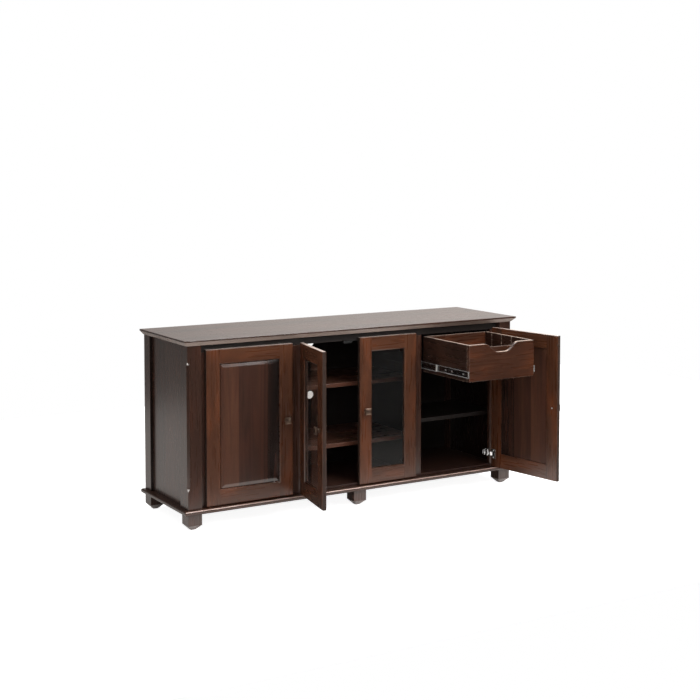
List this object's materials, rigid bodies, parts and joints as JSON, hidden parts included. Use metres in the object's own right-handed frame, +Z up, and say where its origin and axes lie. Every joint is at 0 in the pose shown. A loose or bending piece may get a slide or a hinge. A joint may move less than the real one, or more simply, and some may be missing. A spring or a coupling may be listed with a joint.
{
  "type": "tv stand",
  "caption": "Wide wooden media console on block feet, with panel doors at the ends, a pair of glass doors in the middle, shelves inside and a scoop-front drawer on ball-bearing slides.",
  "frame": {"origin": "on the floor, under the middle of the front centre foot", "axes": "+X to the viewer's right along the front, +Y from the front to the back, +Z up"},
  "size_m": [1.83, 0.9237, 0.854],
  "materials": {
    "case_wood": "dark walnut stain, satin lacquer",
    "door_wood": "dark walnut stain, satin lacquer",
    "drawer_wood": "dark walnut stain, satin lacquer",
    "glass": "clear",
    "knob_metal": "aged pewter",
    "zinc": "zinc plated"
  },
  "bodies": {
    "cabinet": {"top_board": "case_wood", "base_board": "case_wood", "front_left_foot": "case_wood", "front_centre_foot": "case_wood", "front_right_foot": "case_wood", "rear_left_foot": "case_wood", "rear_centre_foot": "case_wood", "rear_right_foot": "case_wood", "front_left_post": "case_wood", "front_right_post": "case_wood", "rear_left_post": "case_wood", "rear_right_post": "case_wood", "left_side_panel": "case_wood", "right_side_panel": "case_wood", "back_panel": "case_wood", "frame_top_rail": "case_wood", "cabinet_floor": "case_wood", "frame_left_outer_stile": "case_wood", "frame_left_inner_stile": "case_wood", "left_divider": "case_wood", "left_shelf": "case_wood", "frame_right_outer_stile": "case_wood", "frame_right_inner_stile": "case_wood", "right_divider": "case_wood", "right_shelf": "case_wood", "centre_lower_shelf": "case_wood", "centre_upper_shelf": "case_wood", "slide_rail": "case_wood", "door_catch": "zinc", "slide_left_cabinet_channel": "zinc", "slide_right_cabinet_channel": "zinc"},
    "left_door": {"left_door_frame": "door_wood", "left_door_panel": "door_wood", "left_door_knob": "knob_metal"},
    "left_glass_door": {"left_glass_door_frame": "door_wood", "left_glass_door_pane": "glass", "left_glass_door_knob": "knob_metal"},
    "right_glass_door": {"right_glass_door_frame": "door_wood", "right_glass_door_pane": "glass", "right_glass_door_knob": "knob_metal"},
    "right_door": {"right_door_frame": "door_wood", "right_door_panel": "door_wood", "right_door_knob": "knob_metal"},
    "left_door_hinge_arms": {"left_door_lower_hinge": "zinc", "left_door_upper_hinge": "zinc"},
    "left_glass_door_hinge_arms": {"left_glass_door_lower_hinge": "zinc", "left_glass_door_upper_hinge": "zinc"},
    "right_glass_door_hinge_arms": {"right_glass_door_lower_hinge": "zinc", "right_glass_door_upper_hinge": "zinc"},
    "right_door_hinge_arms": {"right_door_lower_hinge": "zinc", "right_door_upper_hinge": "zinc"},
    "drawer": {"drawer_front": "drawer_wood", "drawer_back": "drawer_wood", "drawer_left_side": "drawer_wood", "drawer_right_side": "drawer_wood", "drawer_bottom": "drawer_wood", "slide_left_drawer_channel": "zinc", "slide_right_drawer_channel": "zinc"},
    "slide_middles": {"slide_left_middle_channel": "zinc", "slide_right_middle_channel": "zinc"}
  },
  "joints": [
    {"name": "left_door_swing", "type": "hinge", "parent": "cabinet", "child": "left_door", "pos_m": [-0.7987, -0.0275, 0.4506], "axis": [0, 0, -1], "range_deg": [0, 101]},
    {"name": "left_glass_door_swing", "type": "hinge", "parent": "cabinet", "child": "left_glass_door", "pos_m": [-0.325, -0.0275, 0.4506], "axis": [0, 0, -1], "range_deg": [-101, 0]},
    {"name": "right_glass_door_swing", "type": "hinge", "parent": "cabinet", "child": "right_glass_door", "pos_m": [0.325, -0.0275, 0.4506], "axis": [0, 0, 1], "range_deg": [0, 95]},
    {"name": "right_door_swing", "type": "hinge", "parent": "cabinet", "child": "right_door", "pos_m": [0.7987, -0.0275, 0.4506], "axis": [0, 0, 1], "range_deg": [-9, 0]},
    {"name": "left_door_hinge_arm_swing", "type": "hinge", "parent": "cabinet", "child": "left_door_hinge_arms", "pos_m": [-0.7814, -0.0005, 0.4506], "axis": [0, 0, -1], "range_deg": [0, 101]},
    {"name": "left_glass_door_hinge_arm_swing", "type": "hinge", "parent": "cabinet", "child": "left_glass_door_hinge_arms", "pos_m": [-0.3077, -0.0005, 0.4506], "axis": [0, 0, -1], "range_deg": [-101, 0]},
    {"name": "right_glass_door_hinge_arm_swing", "type": "hinge", "parent": "cabinet", "child": "right_glass_door_hinge_arms", "pos_m": [0.3077, -0.0005, 0.4506], "axis": [0, 0, 1], "range_deg": [0, 95]},
    {"name": "right_door_hinge_arm_swing", "type": "hinge", "parent": "cabinet", "child": "right_door_hinge_arms", "pos_m": [0.7814, -0.0005, 0.4506], "axis": [0, 0, 1], "range_deg": [-9, 0]},
    {"name": "drawer_slide", "type": "slide", "parent": "cabinet", "child": "drawer", "axis": [0, -1, 0], "range_m": [-0.382, 0.018]},
    {"name": "slide_middle_travel", "type": "slide", "parent": "cabinet", "child": "slide_middles", "axis": [0, -1, 0], "range_m": [-0.191, 0.009]}
  ],
  "couplings": [
    {"joint": "left_door_hinge_arm_swing", "follows": "left_door_swing", "ratio": 1},
    {"joint": "left_glass_door_hinge_arm_swing", "follows": "left_glass_door_swing", "ratio": 1},
    {"joint": "right_glass_door_hinge_arm_swing", "follows": "right_glass_door_swing", "ratio": 1},
    {"joint": "right_door_hinge_arm_swing", "follows": "right_door_swing", "ratio": 1},
    {"joint": "slide_middle_travel", "follows": "drawer_slide", "ratio": 0.5}
  ]
}
